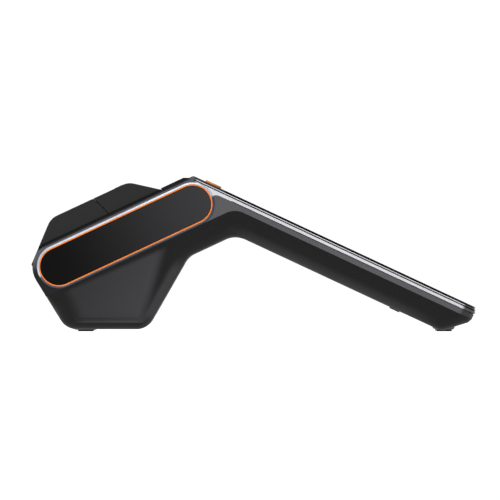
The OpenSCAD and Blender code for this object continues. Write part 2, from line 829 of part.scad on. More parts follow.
module cover_screws() {
  color(steel) both_sides() screw(cover_screw_u, cover_screw_y, slab_t - 1.2, 1.8, 1.1, 0.9, ledge_d - 1.4);
}

module casing_screws() {
  color(steel) for (u = casing_screw_u) both_sides()
    screw(u, casing_screw_y, slab_t - 1.6, 2.1, 1.3, 1, frame_d + 0.6);
}

module speaker() {
  color("#3c3c40")
    slab_box([speaker_u - 8, speaker_u + 8], [floor_d - 2.6, floor_d], [speaker_y - 5, speaker_y + 5]);
}

module vibration_motor() {
  color(steel) slab_peg(speaker_u, 20, [floor_d - 2.4, floor_d], 4);
}

module usb_port() {
  color(steel) difference() {
    slab_box([usb_u - usb_size[0] / 2 + 0.1, usb_u + usb_size[0] / 2 - 0.1],
      [side_key_d - usb_size[1] / 2 + 0.1, side_key_d + usb_size[1] / 2 - 0.1], [inner - 6, side]);
    slab_box([usb_u - usb_size[0] / 2 + 0.5, usb_u + usb_size[0] / 2 - 0.5],
      [side_key_d - usb_size[1] / 2 + 0.5, side_key_d + usb_size[1] / 2 - 0.5], [inner - 5, side + 1]);
  }
}

module nfc_antenna() {
  color("#b06a2e") difference() {
    head_box([cover_end_u + 1, 74], [rim_r - wall - 0.4, rim_r - wall], [-26, 26]);
    head_box([cover_end_u + 4, 71], [rim_r - wall - 1, rim_r], [-22, 22]);
  }
}

module head_foot_pads() {
  color("#1b1b1b") for (s = [-1, 1]) translate([head_foot_x, s * foot_y, 0]) cylinder(h = 1.2, d = pad_d);
}

module tail_foot_bases() {
  color(black) for (s = [-1, 1])
    translate([tail_foot_x, s * foot_y, 0.8]) cylinder(h = 2.4, d = base_d - 0.1);
}

module tail_foot_pads() {
  color("#1b1b1b") for (s = [-1, 1]) translate([tail_foot_x, s * foot_y, 0]) cylinder(h = 0.8, d = pad_d);
}

lower_casing();
upper_casing();
display_bezel();
touch_glass();
key_plate();
lcd_module();
deck_panel();
side_panel_left();
side_panel_right();
accent_ring_left();
accent_ring_right();
panel_bezel_left();
panel_bezel_right();
print_head_cover();
tear_bar();
paper_bucket();
scan_bezel();
scan_window();
scan_engine();
scan_lens();
print_frame();
thermal_head();
head_heatsink();
head_springs();
stepper_motor();
idler_pin();
lid_hinge_pin();
main_board();
shield_cans();
board_connectors();
key_board();
key_switches();
battery_pack();
battery_cover();
cover_screws();
casing_screws();
speaker();
vibration_motor();
usb_port();
nfc_antenna();
head_foot_pads();
tail_foot_bases();
tail_foot_pads();
paper_lid();
lid_inner_frame();
platen_bushings();
platen_shaft();
platen_roller();
platen_gear();
idler_gear();
motor_pinion();
motor_shaft();
paper_roll();
paper_core();
lid_release_button();
scan_key();
power_key();
volume_key();
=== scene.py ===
import json
import math

import bmesh
import bpy
from mathutils import Matrix, Vector


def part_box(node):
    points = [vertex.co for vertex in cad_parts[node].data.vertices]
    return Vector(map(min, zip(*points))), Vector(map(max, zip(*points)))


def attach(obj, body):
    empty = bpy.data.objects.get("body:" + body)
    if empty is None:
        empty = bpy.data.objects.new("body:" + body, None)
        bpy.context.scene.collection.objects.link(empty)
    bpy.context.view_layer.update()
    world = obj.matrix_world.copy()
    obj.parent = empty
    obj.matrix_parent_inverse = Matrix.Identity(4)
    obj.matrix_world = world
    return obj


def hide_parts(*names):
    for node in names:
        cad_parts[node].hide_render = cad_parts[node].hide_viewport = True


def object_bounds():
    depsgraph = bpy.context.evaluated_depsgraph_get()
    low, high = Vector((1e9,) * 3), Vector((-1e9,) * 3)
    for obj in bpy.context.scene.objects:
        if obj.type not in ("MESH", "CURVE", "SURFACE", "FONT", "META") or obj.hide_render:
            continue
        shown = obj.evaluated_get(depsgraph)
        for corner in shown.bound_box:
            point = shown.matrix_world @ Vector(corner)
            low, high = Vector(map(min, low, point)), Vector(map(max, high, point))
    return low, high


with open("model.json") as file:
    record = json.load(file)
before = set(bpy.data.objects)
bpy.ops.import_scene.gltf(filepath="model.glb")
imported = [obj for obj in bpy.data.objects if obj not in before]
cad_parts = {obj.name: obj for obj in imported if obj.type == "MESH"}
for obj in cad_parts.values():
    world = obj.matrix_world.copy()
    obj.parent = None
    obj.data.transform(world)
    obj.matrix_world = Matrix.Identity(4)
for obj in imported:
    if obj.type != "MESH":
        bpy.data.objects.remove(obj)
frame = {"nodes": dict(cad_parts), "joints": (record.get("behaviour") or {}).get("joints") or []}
cad_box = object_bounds()
nodes = frame["nodes"]
joints = {joint["name"]: joint for joint in frame["joints"]}

MM = 0.001

# ---------------------------------------------------------------- sizes, in millimetres
low, high = cad_box
TILT = math.asin(joints["release_press"]["axis"][0])     # slope of the head and of the slab
COS, SIN = math.cos(TILT), math.sin(TILT)
HINGE = [v / MM for v in joints["lid_hinge"]["pos_m"]]

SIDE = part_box("lower_casing")[1].y / MM      # half the casing's width
WALL = 2.0
RIM_R = 12.3                                 # rim round the side panels
HEAD_RUN = 77.6                              # from the panel's front centre to the ridge
SLAB_LEN, SLAB_T = 151.6, 17.4
FRONT_SLOPE, REAR_SLOPE = math.radians(58.5), math.radians(60.2)
BASE_Z, REAR_X = 1.0, -51.6                  # the head's flat base: its height and its rear end
FRONT_OUT = 0.6                              # how far the front face stands out past the rim
NECK_V = -22.3                               # the neck's underside, below the head's axis
SPLIT_V, SPLIT_D = -10.65, 6.0               # the casings' parting line, on the head and the slab
EDGE_R = 5.2                                 # soft rounding of the lower casing's long edges
RIM_EDGE = 1.6                               # rounding of the rim round the panels
TAIL_IN = 6.4                                # how far the slab's end curves in at its corners
PIVOT_R = 5.1                                # the front wall's trough for the lid's barrel
SCAN_Z = 19.9                                # height of the scan window's middle on the front face
RECESS_Y, CLEAR_Y = 39.15, 42                # floor of the panels' recess, and past every side
RECESS_R = 10.68                             # the recess's radius

panel_low, panel_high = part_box("side_panel_left")
panel_w, panel_h = (panel_high.x - panel_low.x) / MM, (panel_high.z - panel_low.z) / MM
PANEL_RUN = (panel_w - panel_h) / (COS - SIN)
PANEL_R = (panel_w - PANEL_RUN * COS) / 2
HEAD_X, HEAD_Z = panel_low.x / MM + PANEL_R, panel_low.z / MM + PANEL_R


# ---------------------------------------------------------------- flat geometry: points are (x, z)
def on_head(u, v):
    return Vector((HEAD_X + u * COS - v * SIN, HEAD_Z + u * SIN + v * COS))


RIDGE = on_head(HEAD_RUN, RIM_R)


def on_slab(u, d):
    return Vector((RIDGE.x + u * COS - d * SIN, RIDGE.y - u * SIN - d * COS))


def unit(angle):
    return Vector((math.cos(angle), math.sin(angle)))


def meet(p, a, q, b):
    """Where the line through p at angle a crosses the line through q at angle b."""
    n = Vector((-math.sin(b), math.cos(b)))
    return p + unit(a) * ((q - p).dot(n) / unit(a).dot(n))


def fillet(a, p, b, r, steps):
    """Points of the arc of radius r that rounds corner p between a and b."""
    ua, ub = (a - p).normalized(), (b - p).normalized()
    half = math.acos(max(-1, min(1, ua.dot(ub)))) / 2
    centre = p + (ua + ub).normalized() * (r / math.sin(half))
    start = p + ua * (r / math.tan(half)) - centre
    end = p + ub * (r / math.tan(half)) - centre
    turn = math.atan2(start.x * end.y - start.y * end.x, start.dot(end))
    first = math.atan2(start.y, start.x)
    return [centre + unit(first + turn * i / steps) * r for i in range(steps + 1)]


def smooth(corners, steps=8):
    """An outline with its corners rounded. Each corner is (point, radius)."""
    out = []
    for i, (p, r) in enumerate(corners):
        before, after = corners[i - 1][0], corners[(i + 1) % len(corners)][0]
        out += fillet(before, p, after, r, steps) if r > 0 else [p]
    return out


def mitre(corners, i, t):
    """Corner i moved inwards by t from both of its edges, on an anticlockwise outline."""
    p = corners[i][0]
    into = (p - corners[i - 1][0]).normalized()
    out = (corners[(i + 1) % len(corners)][0] - p).normalized()
    n1, n2 = Vector((-into.y, into.x)), Vector((-out.y, out.x))
    return p + (n1 + n2) * (t / (1 + n1.dot(n2)))


# ---------------------------------------------------------------- meshes
def new_object(name, bm, material=None, angle=30, weighted=True):
    """An object from a bmesh in millimetres, smooth but for edges sharper than angle."""
    bmesh.ops.remove_doubles(bm, verts=bm.verts, dist=1e-4)
    bmesh.ops.recalc_face_normals(bm, faces=bm.faces)
    bmesh.ops.scale(bm, vec=(MM, MM, MM), verts=bm.verts)
    mesh = bpy.data.meshes.new(name)
    bm.to_mesh(mesh)
    bm.free()
    obj = bpy.data.objects.new(name, mesh)
    bpy.context.scene.collection.objects.link(obj)
    if material:
        mesh.materials.append(material)
    shade(obj, angle, weighted)
    return obj


def shade(obj, angle=30, weighted=True):
    mesh = obj.data
    mesh.shade_smooth()
    mesh.set_sharp_from_angle(angle=math.radians(angle))
    if weighted:
        modifier = obj.modifiers.new("normals", "WEIGHTED_NORMAL")
        modifier.keep_sharp = True


def add_prism(bm, outline, y0, y1):
    """A closed prism of the outline, of points (x, z), between y0 and y1."""
    near = [bm.verts.new((p.x, y0, p.y)) for p in outline]
    far = [bm.verts.new((p.x, y1, p.y)) for p in outline]
    count = len(outline)
    bm.faces.new(near)
    bm.faces.new(far[::-1])
    for i in range(count):
        j = (i + 1) % count
        bm.faces.new((near[i], far[i], far[j], near[j]))


def add_side_prism(bm, outline, side, y0, y1):
    """A closed prism between y0 and y1 on one side: -1 is the near side and 1 the far side."""
    near, far = sorted((side * y0, side * y1))
    add_prism(bm, outline, near, far)


def slab_matrix(u, y, d):
    """A frame on the slab: X runs down its length and Z points out of its face."""
    p = on_slab(u, d)
    return Matrix.Translation((p.x, y, p.y)) @ Matrix.Rotation(TILT, 4, "Y")


def slot_outline(long, short, steps=12):
    """A slot's flat outline in the X-Y plane."""
    half, r = (long - short) / 2, short / 2
    turn = [math.pi * i / steps for i in range(steps + 1)]
    right = [(half + r * math.sin(a), -r * math.cos(a)) for a in turn]
    return right + [(-x, -y) for x, y in right]


def add_plate(bm, outline, z0, z1, matrix, edge=0.0, steps=3, turned=False):
    """A plate of a flat outline from z0 up to z1, with its upper edge rounded by edge."""
    rings = [(z0, 0.0)]
    if edge > 0:
        for i in range(steps + 1):
            a = math.pi / 2 * i / steps
            rings.append((z1 - edge + edge * math.sin(a), edge * (1 - math.cos(a))))
    else:
        rings.append((z1, 0.0))
    if turned:
        outline = [(-y, x) for x, y in outline]
    count = len(outline)
    points = [Vector(p) for p in outline]
    normals = []
    for i, p in enumerate(points):
        into = p - points[i - 1]
        out = points[(i + 1) % count] - p
        tangent = (into.normalized() + out.normalized()).normalized()
        normals.append(Vector((-tangent.y, tangent.x)))
    layers = []
    for z, t in rings:
        layers.append([bm.verts.new(matrix @ Vector((*(p + n * t), z))) for p, n in zip(points, normals)])
    bm.faces.new(layers[0][::-1])
    bm.faces.new(layers[-1])
    for a, b in zip(layers, layers[1:]):
        for i in range(count):
            j = (i + 1) % count
            bm.faces.new((a[i], a[j], b[j], b[i]))


def add_rod(bm, r, z0, z1, matrix, steps=24):
    outline = [(r * math.cos(2 * math.pi * i / steps), r * math.sin(2 * math.pi * i / steps))
               for i in range(steps)]
    add_plate(bm, outline, z0, z1, matrix)


def add_box(bm, size, matrix):
    result = bmesh.ops.create_cube(bm, size=1)
    bmesh.ops.transform(bm, matrix=matrix @ Matrix.Diagonal((*size, 1)), verts=result["verts"])


def cut(obj, cutter_bm):
    """obj with the cutter's solids taken away."""
    cutter = new_object("cutter", cutter_bm, weighted=False)
    modifier = obj.modifiers.new("cut", "BOOLEAN")
    modifier.operation = "DIFFERENCE"
    modifier.solver = "EXACT"
    modifier.use_self = True
    modifier.object = cutter
    apply_modifiers(obj)
    bpy.data.objects.remove(cutter)


def apply_modifiers(obj):
    graph = bpy.context.evaluated_depsgraph_get()
    graph.update()
    mesh = bpy.data.meshes.new_from_object(obj.evaluated_get(graph))
    obj.modifiers.clear()
    old = obj.data
    obj.data = mesh
    bpy.data.meshes.remove(old)


def rounded_shell(bm, corners, targets, half_w, edge, rings=7, steps=8):
    """A solid between -half_w and half_w whose side edges curve in from corners to targets."""
    base, inner = smooth(corners, steps), smooth(targets, steps)
    layers = []
    for side in (-1, 1):
        ring = []
        for k in range(rings + 1):
            a = math.pi / 2 * k / rings
            share, y = 1 - math.cos(a), half_w - edge * (1 - math.sin(a))
            ring.append([(p.lerp(q, share), side * y) for p, q in zip(base, inner)])
        layers.append(ring)
    order = layers[0][::-1] + layers[1]
    loops = [[bm.verts.new((p.x, y, p.y)) for p, y in ring] for ring in order]
    count = len(base)
    for a, b in zip(loops, loops[1:]):
        for i in range(count):
            j = (i + 1) % count
            bm.faces.new((a[i], b[i], b[j], a[j]))
    return bm.faces.new(loops[0]), bm.faces.new(loops[-1][::-1])


# ---------------------------------------------------------------- materials
def plain(value):
    return (value, value, value, 1.0)


def srgb(r, g, b):
    """A linear colour from 0 to 255 screen values."""
    def linear(c):
        c /= 255
        return c / 12.92 if c <= 0.04045 else ((c + 0.055) / 1.055) ** 2.4
    return (linear(r), linear(g), linear(b), 1.0)


NOISE_LOW, NOISE_HIGH = 0.3, 0.7      # the part of a noise texture's range that is used


def add_noise(tree, vector, scale, detail):
    noise = tree.nodes.new("ShaderNodeTexNoise")
    noise.inputs["Scale"].default_value = scale
    noise.inputs["Detail"].default_value = detail
    tree.links.new(vector, noise.inputs["Vector"])
    return noise.outputs["Fac"]


def add_range(tree, value, start, end, low_out=0.0, high_out=1.0, curve="LINEAR"):
    """The value's share of the way from start to end, as a number from low_out to high_out."""
    span = tree.nodes.new("ShaderNodeMapRange")
    span.interpolation_type = curve
    span.inputs["From Min"].default_value = start
    span.inputs["From Max"].default_value = end
    span.inputs["To Min"].default_value = low_out
    span.inputs["To Max"].default_value = high_out
    tree.links.new(value, span.inputs["Value"])
    return span.outputs["Result"]


def add_math(tree, operation, a, b):
    result = tree.nodes.new("ShaderNodeMath")
    result.operation = operation
    tree.links.new(a, result.inputs[0])
    tree.links.new(b, result.inputs[1])
    return result.outputs["Value"]


def add_fade_share(tree, position, ranges):
    """A number from 0 to 1 that is 1 where all of a fade's ranges have risen."""
    share = None
    for direction, start, end in ranges:
        along = tree.nodes.new("ShaderNodeVectorMath")
        along.operation = "DOT_PRODUCT"
        along.inputs[1].default_value = direction
        tree.links.new(position, along.inputs[0])
        rise = add_range(tree, along.outputs["Value"], start * MM, end * MM, curve="SMOOTHSTEP")
        share = rise if share is None else add_math(tree, "MULTIPLY", share, rise)
    return share


def add_mottle(tree, noise, colour, spread):
    """The colour, a little darker and lighter by turns."""
    ramp = tree.nodes.new("ShaderNodeValToRGB")
    dark, light = ramp.color_ramp.elements
    dark.position = NOISE_LOW
    dark.color = tuple(c * (1 - spread) for c in colour[:3]) + (1,)
    light.position = NOISE_HIGH
    light.color = tuple(min(1, c * (1 + spread)) for c in colour[:3]) + (1,)
    tree.links.new(noise, ramp.inputs["Fac"])
    return ramp.outputs["Color"]


def add_bump(tree, height, strength):
    relief = tree.nodes.new("ShaderNodeBump")
    relief.inputs["Strength"].default_value = strength
    relief.inputs["Distance"].default_value = 0.05 * MM
    tree.links.new(height, relief.inputs["Height"])
    return relief.outputs["Normal"]


def material(name, colour, rough, metal=0.0, spread=0.12, grain=2200.0, bump=0.0, rough_spread=0.08,
             coat=0.0, stretch=(1, 1, 1), specular=0.3, fades=()):
    """A surface whose colour and roughness vary over it, with a fine moulded or brushed grain.
    Each of fades is (colour, ranges): the colour takes over where all of its ranges rise from
    0 to 1, and a range is (direction, start, end) in millimetres along a direction (x, y, z)."""
    mat = bpy.data.materials.new(name)
    mat.use_nodes = True
    tree = mat.node_tree
    node, link = tree.nodes.new, tree.links.new
    shader = tree.nodes["Principled BSDF"]
    shader.inputs["Metallic"].default_value = metal
    shader.inputs["Specular IOR Level"].default_value = specular
    shader.inputs["Coat Weight"].default_value = coat
    shader.inputs["Coat Roughness"].default_value = 0.08
    position = node("ShaderNodeTexCoord").outputs["Object"]
    stretched = node("ShaderNodeMapping")
    stretched.inputs["Scale"].default_value = stretch
    link(position, stretched.inputs["Vector"])
    fine = add_noise(tree, stretched.outputs["Vector"], grain, 3.0)
    both = node("ShaderNodeMix")
    both.data_type = "FLOAT"
    both.inputs["Factor"].default_value = 0.45
    link(add_noise(tree, position, 45.0, 6.0), both.inputs["A"])
    link(fine, both.inputs["B"])
    noise = both.outputs["Result"]
    colour_out = add_mottle(tree, noise, colour, spread)
    for second, ranges in fades:
        blend = node("ShaderNodeMix")
        blend.data_type = "RGBA"
        link(add_fade_share(tree, position, ranges), blend.inputs["Factor"])
        link(colour_out, blend.inputs["A"])
        blend.inputs["B"].default_value = second
        colour_out = blend.outputs["Result"]
    link(colour_out, shader.inputs["Base Color"])
    smoothest, roughest = max(0.02, rough - rough_spread), min(1.0, rough + rough_spread)
    link(add_range(tree, noise, NOISE_LOW, NOISE_HIGH, smoothest, roughest), shader.inputs["Roughness"])
    if bump > 0:
        link(add_bump(tree, fine, bump), shader.inputs["Normal"])
    return mat


# The directions that the fades run along, and where the head's and the slab's origins lie on them.
HEAD_UP = (-SIN, 0, COS)          # v, across the head's axis
HEAD_ALONG = (COS, 0, SIN)        # u, along it
HEAD_U = HEAD_X * COS + HEAD_Z * SIN
HEAD_V = HEAD_Z * COS - HEAD_X * SIN
SLAB_ALONG = (COS, 0, -SIN)       # u, from the ridge to the tail
SLAB_DOWN = (-SIN, 0, -COS)       # d, down through the slab
SLAB_U = RIDGE.x * COS - RIDGE.y * SIN
SLAB_D = -RIDGE.x * SIN - RIDGE.y * COS
REAR_OUT = (math.sin(REAR_SLOPE), 0, -math.cos(REAR_SLOPE))
REAR_AT = REAR_X * math.sin(REAR_SLOPE) - BASE_Z * math.cos(REAR_SLOPE)


def reverse(direction):
    return tuple(-c for c in direction)


# The scooped facet on the head's side: its corners, clockwise from the front one.
FACET = [Vector((-91.7, 19.2)), Vector((-42.3, 40.75)), Vector((-53.0, 4.1)), Vector((-85.9, 4.1))]


def facet_edge(i):
    """A point on edge i of the facet and the direction inwards from it."""
    along = (FACET[(i + 1) % len(FACET)] - FACET[i]).normalized()
    return FACET[i], Vector((along.y, -along.x))


def facet_range(i, start, end):
    """A fade range that rises inwards across edge i of the facet."""
    corner, inwards = facet_edge(i)
    at = corner.dot(inwards)
    return ((inwards.x, 0, inwards.y), at + start, at + end)


# Painted light: the casing is painted lighter over the facet, and lighter still towards its rear foot, as if
# it caught light from the floor.
FACET_PAINTED_LIGHT_RANGES = [facet_range(0, -1.2, 1.6), facet_range(1, -1.5, 4.5), facet_range(2, -0.1, 0.3),
                facet_range(3, -1.5, 4.5)]

FACET_PAINTED_LIGHT_SLANT = ((0.85, 0, -0.53), -97, -34)     # the facet lightens towards its rear foot

BLACK_C = srgb(11, 10, 11)
BLACK = material("black_plastic", BLACK_C, 0.5, spread=0.06, bump=0.3, specular=0.2)
# Painted light: the casing lightens along the slab's lower edge, as if lit from the floor below.
SLAB_EDGE_PAINTED_LIGHT = [(SLAB_DOWN, SLAB_D + 11.5, SLAB_D + 16),
             (reverse(SLAB_DOWN), -SLAB_D - 17.3, -SLAB_D - 16.3),
             (SLAB_ALONG, SLAB_U + 22, SLAB_U + 46),
             (reverse(SLAB_ALONG), -SLAB_U - 140, -SLAB_U - 118)]
# Painted light: a lighter strip along the head's rounded rear edge, as if lit from behind.
REAR_EDGE_PAINTED_LIGHT = [(REAR_OUT, REAR_AT - 6.5, REAR_AT - 3.2), (reverse(REAR_OUT), -REAR_AT + 0.4, -REAR_AT + 1.6),
             ((0, 0, 1), 3, 9), ((0, 0, -1), -38, -28)]
# The casing's fades are all painted light: over the facet, along the slab's lower edge and along the head's
# rear edge.
CASING = material("casing_plastic", BLACK_C, 0.5, spread=0.06, bump=0.3, specular=0.2,
                  fades=[(srgb(34, 34, 35), FACET_PAINTED_LIGHT_RANGES),
                         (srgb(58, 58, 61), FACET_PAINTED_LIGHT_RANGES + [FACET_PAINTED_LIGHT_SLANT]),
                         (srgb(36, 35, 37), SLAB_EDGE_PAINTED_LIGHT),
                         (srgb(50, 49, 51), REAR_EDGE_PAINTED_LIGHT)])
LID = material("lid_plastic", srgb(31, 31, 32), 0.55, spread=0.04, bump=0.3, specular=0.2)
# Painted shade: the grey casing and the silver trim darken at the slab's tail end, where their surfaces turn
# away from the light.
TAIL_PAINTED_SHADE = [(SLAB_ALONG, SLAB_U + 144.3, SLAB_U + 146.5)]
GREY = material("grey_plastic", srgb(82, 80, 83), 0.45, spread=0.02, bump=0.2, specular=0.25,
                fades=[(BLACK_C, [(reverse(HEAD_UP), -HEAD_V - 9, -HEAD_V - 1),
                                  (reverse(HEAD_ALONG), -HEAD_U - 14, -HEAD_U - 6)]),
                       # Painted shadow: the grey rim's top strip, under the lid and the cover, is black.
                       (BLACK_C, [(HEAD_UP, HEAD_V + 11.35, HEAD_V + 11.6),
                                  (reverse(HEAD_ALONG), -HEAD_U - 75.8, -HEAD_U - 75.2)]),
                       (srgb(44, 43, 45), TAIL_PAINTED_SHADE)])
# Painted shade: the silver trim darkens at the slab's tail end and next to the ridge.
SILVER = material("silver_trim", srgb(212, 211, 216), 0.34, metal=0.2, spread=0.03, bump=0.05,
                  fades=[(srgb(70, 69, 72), TAIL_PAINTED_SHADE),
                         (srgb(48, 47, 50), [(reverse(SLAB_ALONG), -SLAB_U - 2.6, -SLAB_U - 1.4)])])
# Painted reflection: the chrome bevel is light blue on its upper half and dark blue on its lower half, as if
# it reflected the bright sky above and the dark below.
CHROME = material("bevel_chrome", srgb(72, 84, 98), 0.22, metal=0.3, spread=0.03,
                  fades=[(srgb(205, 216, 232), [(HEAD_UP, HEAD_V - 1.5, HEAD_V + 0.5)])])
ORANGE = material("orange_plastic", srgb(250, 130, 32), 0.4, spread=0.02, bump=0.05)
# Painted light: a lighter copy of the orange for the keys, which stand in shade.
KEY_ORANGE_PAINTED_LIGHT = material("key_orange_painted_light", srgb(255, 150, 50), 0.4, spread=0.02, bump=0.05)
# Painted reflection: the glossy black lightens from the front of the head towards its rear, over the side
# panels and every part in this finish.
GLOSS = material("panel_gloss", srgb(11, 11, 11), 0.12, spread=0.03, rough_spread=0.02, specular=0.08,
                 fades=[(srgb(59, 59, 61), [(HEAD_ALONG, HEAD_U - 8, HEAD_U + 104)])])
GLASS = material("cover_glass", srgb(7, 7, 8), 0.07, spread=0.04, rough_spread=0.015, specular=0.2,
                 fades=[(srgb(24, 27, 34), [(SLAB_ALONG, SLAB_U + 21.5, SLAB_U + 22),
                                            (reverse(SLAB_ALONG), -SLAB_U - 143.5, -SLAB_U - 143),
                                            ((0, 1, 0), -33.5, -33), ((0, -1, 0), -33.5, -33)])])
CUP = material("foot_cup", srgb(16, 16, 16), 0.3, spread=0.05, specular=0.5)
# Black for the dark joints round the display bezel, and for the strips of painted shadow along the lid's and
# the cover's lower edges.
JOINT_AND_SHADE_BLACK = material("joint_and_painted_shade_black", srgb(8, 8, 8), 0.7, spread=0.1, specular=0.15)
STEEL = material("steel", srgb(176, 178, 182), 0.32, metal=1.0, spread=0.06, grain=900, stretch=(1, 8, 1))
ALUMINIUM = material("aluminium", srgb(190, 192, 196), 0.4, metal=0.9, spread=0.05, grain=1200)
BRASS = material("brass", srgb(196, 160, 88), 0.3, metal=1.0, spread=0.06)
NYLON = material("nylon", srgb(222, 216, 200), 0.5, spread=0.03, bump=0.1)
RUBBER = material("rubber", srgb(24, 24, 25), 0.75, spread=0.15, grain=3000, bump=0.6, specular=0.3)
PLATEN = material("platen_rubber", srgb(30, 30, 32), 0.65, spread=0.12, grain=2600, bump=0.5)
BOARD = material("board", srgb(26, 92, 58), 0.35, spread=0.2, grain=700, bump=0.2, coat=0.3)
CONNECTOR = material("connector", srgb(208, 198, 168), 0.5, spread=0.08)
WRAP = material("battery_wrap", srgb(40, 84, 140), 0.3, spread=0.06, coat=0.3)
CERAMIC = material("ceramic", srgb(226, 220, 206), 0.25, spread=0.04, coat=0.4)
COPPER = material("copper", srgb(190, 112, 66), 0.35, metal=0.9, spread=0.08)
PAPER = material("paper", srgb(240, 238, 230), 0.85, spread=0.03, grain=1600, bump=0.3)
CARD = material("cardboard", srgb(176, 146, 108), 0.9, spread=0.12, grain=1200, bump=0.5)
SCAN_RED = material("scan_window", srgb(58, 10, 14), 0.08, spread=0.08, coat=0.7)
LENS = material("lens_glass", srgb(60, 74, 130), 0.05, spread=0.1, coat=0.8)

NODE_MATERIALS = {
    BLACK: ["lower_casing", "deck_panel", "paper_bucket", "battery_cover", "lid_inner_frame", "speaker",
            "scan_engine", "tail_foot_bases", "power_key", "volume_key"],
    LID: ["paper_lid", "print_head_cover"],
    GREY: ["upper_casing"],
    SILVER: ["display_bezel"],
    ORANGE: ["accent_ring_left", "accent_ring_right"],
    KEY_ORANGE_PAINTED_LIGHT: ["lid_release_button", "scan_key"],
    CHROME: ["panel_bezel_left", "panel_bezel_right"],
    GLOSS: ["side_panel_left", "side_panel_right", "key_plate", "scan_bezel", "lcd_module"],
    GLASS: ["touch_glass"],
    STEEL: ["tear_bar", "print_frame", "head_springs", "stepper_motor", "motor_shaft", "idler_pin",
            "lid_hinge_pin", "platen_shaft", "cover_screws", "casing_screws", "vibration_motor", "usb_port"],
    ALUMINIUM: ["head_heatsink", "shield_cans", "key_switches"],
    BRASS: ["motor_pinion"],
    NYLON: ["platen_gear", "idler_gear", "platen_bushings"],
    RUBBER: ["head_foot_pads", "tail_foot_pads"],
    PLATEN: ["platen_roller"],
    BOARD: ["main_board", "key_board"],
    CONNECTOR: ["board_connectors"],
    WRAP: ["battery_pack"],
    CERAMIC: ["thermal_head"],
    COPPER: ["nfc_antenna"],
    PAPER: ["paper_roll"],
    CARD: ["paper_core"],
    SCAN_RED: ["scan_window"],
    LENS: ["scan_lens"],
}

BEVELS = {
    "upper_casing": 0.35, "display_bezel": 0.25, "touch_glass": 0.4, "key_plate": 0.2, "deck_panel": 0.35,
    "side_panel_left": 0.2, "side_panel_right": 0.2, "accent_ring_left": 0.2, "accent_ring_right": 0.2,
    "paper_lid": 0.5, "print_head_cover": 0.5, "battery_cover": 0.3, "scan_bezel": 0.2, "scan_key": 0.5,
    "lid_release_button": 0.3, "power_key": 0.3, "volume_key": 0.3, "head_foot_pads": 0.3,
    "tail_foot_bases": 0.6, "tail_foot_pads": 0.25, "paper_roll": 0.3, "paper_bucket": 0.3,
    "platen_roller": 0.3, "stepper_motor": 0.4, "head_heatsink": 0.1, "shield_cans": 0.25,
    "battery_pack": 0.8, "speaker": 0.3, "usb_port": 0.1, "panel_bezel_left": 0.3, "panel_bezel_right": 0.3,
}


def dress_cad_nodes():
    for mat, names in NODE_MATERIALS.items():
        for name in names:
            mesh = nodes[name].data
            mesh.materials.clear()
            mesh.materials.append(mat)
    for name, width in BEVELS.items():
        obj = nodes[name]
        flat = obj.modifiers.new("flat", "DECIMATE")
        flat.decimate_type = "DISSOLVE"
        flat.angle_limit = math.radians(0.5)
        bevel = obj.modifiers.new("edges", "BEVEL")
        bevel.width = width * MM
        bevel.segments = 3
        bevel.limit_method = "ANGLE"
        bevel.angle_limit = math.radians(40)
        bevel.use_clamp_overlap = True
        weight = obj.modifiers.new("normals", "WEIGHTED_NORMAL")
        weight.keep_sharp = True
    for name, obj in nodes.items():
        obj.data.shade_smooth()
        if name not in BEVELS:
            obj.data.set_sharp_from_angle(angle=math.radians(35))


# ---------------------------------------------------------------- lower casing
FRONT_AT = on_head(0, 0) + unit(math.radians(270) - FRONT_SLOPE) * (RIM_R + FRONT_OUT)
FRONT_DIR = math.pi - FRONT_SLOPE
FRONT_IN = unit(FRONT_DIR - math.pi / 2)

# Widths over which the scoop deepens from each of the facet's edges. The foot's is a crisp step.
SCOOP_RISES = (3.0, 5.0, 0.35, 5.0)
SCOOP_TOP, SCOOP_FOOT, SCOOP_H = 0.3, 1.6, 28      # depth at the top, the rest at the foot, height

# Places on the slab: u along it, d down from its face, y across it.
BATTERY_BAY = ((60, 126), (14, 19), (-31, 31))
DATA_PORT = ((95.5, 104.5), (7.4, 10.6), (37, 41))
SCREW_U, SCREW_Y = (34, 133), (-34.5, 34.5)
SPEAKER_U, SPEAKER_Y = 46, -20
KEY_SLOTS = ((46, 10.5), (71, 20.5))               # u and length of the power and volume keys


def smoothstep(t):
    t = max(0.0, min(1.0, t))
    return t * t * (3 - 2 * t)


def facet_depth(p):
    """How far the head's side is scooped in at p, in millimetres: most at the facet's foot."""
    share = 1.0
    for i, width in enumerate(SCOOP_RISES):
        corner, inwards = facet_edge(i)
        inside = (p - corner).dot(inwards)
        share *= smoothstep(inside / width + (0.5 if width < 1 else 0.0))
    corner, inwards = facet_edge(0)
    below = (p - corner).dot(inwards)
    return share * (SCOOP_TOP + SCOOP_FOOT * below / SCOOP_H)


def foot_pair(node):
    """A pair of round feet: x and y of the far one, its radius, and its lowest and highest z."""
    start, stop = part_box(node)
    r = (stop.x - start.x) / 2 / MM
    return (start.x + stop.x) / 2 / MM, stop.y / MM - r, r, start.z / MM, stop.z / MM


def add_scan_opening(bm):
    """The slot in the front face that holds the scan window's frame."""
    middle = meet(Vector((0, SCAN_Z)), 0, FRONT_AT, FRONT_DIR)
    place = Matrix.Translation((middle.x, 0, middle.y)) @ Matrix.Rotation(-FRONT_DIR, 4, "Y")
    add_plate(bm, slot_outline(27, 11), -7, 4, place, turned=True)


def add_slab_box(bm, u, d, y):
    middle = slab_matrix((u[0] + u[1]) / 2, (y[0] + y[1]) / 2, (d[0] + d[1]) / 2)
    add_box(bm, (u[1] - u[0], y[1] - y[0], d[1] - d[0]), middle)


